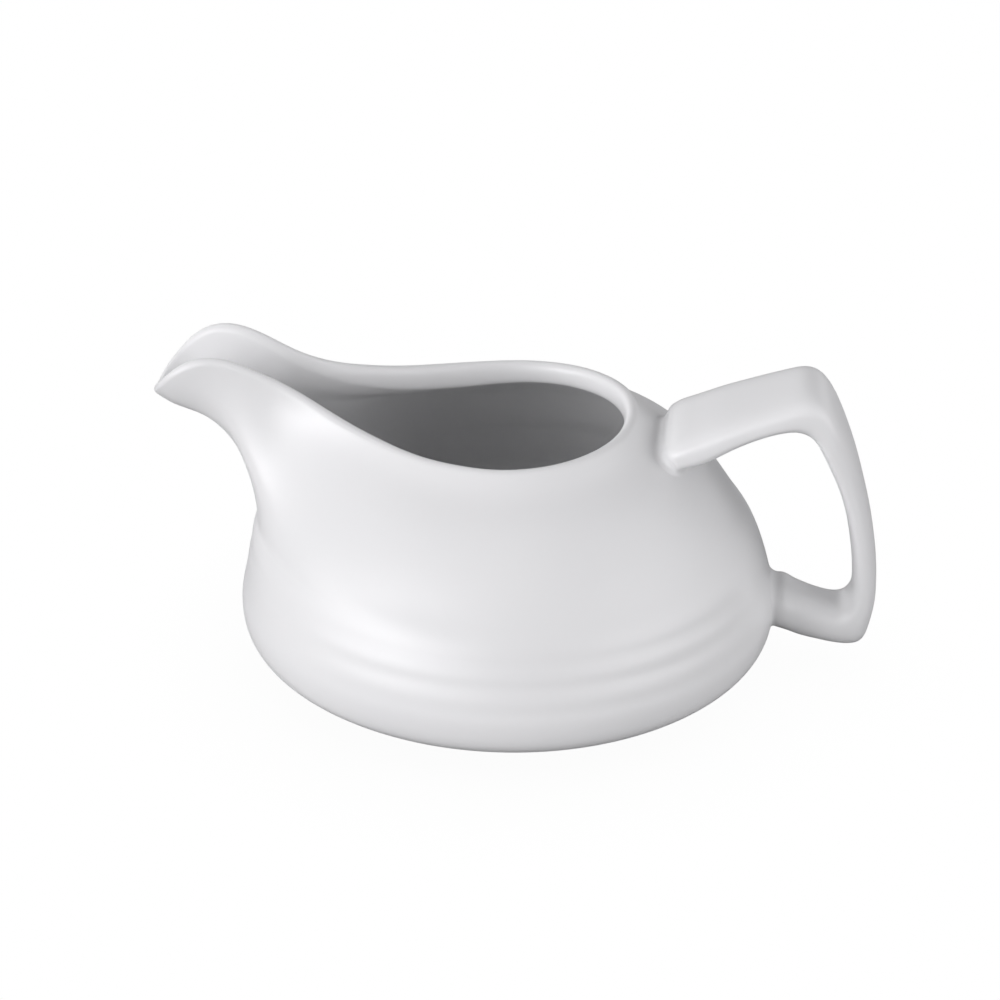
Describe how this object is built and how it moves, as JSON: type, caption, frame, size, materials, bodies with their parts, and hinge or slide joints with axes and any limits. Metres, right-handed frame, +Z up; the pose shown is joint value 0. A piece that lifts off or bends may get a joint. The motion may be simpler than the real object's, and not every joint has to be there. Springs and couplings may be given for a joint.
{
  "type": "gravy boat",
  "caption": "Round-bellied porcelain sauce boat with a domed neck, an open raised pouring spout, an arched strap handle and a flat standing ring.",
  "frame": {"origin": "centre of the flat standing ring under the bowl, on the axis of the round bowl and on the table plane", "axes": "+Z up, out of the bowl's mouth; +X towards the handle and -X towards the pouring spout; the object is symmetric about the XZ plane"},
  "size_m": [0.1873, 0.14, 0.0825],
  "materials": {
    "glazed_porcelain": "cool white glossy transparent glaze over porcelain, unglazed standing ring",
    "glazed_porcelain_handle": "cool white glossy transparent glaze over porcelain",
    "glazed_slip_upper": "sponged-smooth porcelain slip under the same glossy glaze",
    "glazed_slip_lower": "sponged-smooth porcelain slip under the same glossy glaze"
  },
  "bodies": {
    "root": {"body": "glazed_porcelain", "handle": "glazed_porcelain_handle", "upper_handle_joint": "glazed_slip_upper", "lower_handle_joint": "glazed_slip_lower"}
  },
  "joints": []
}
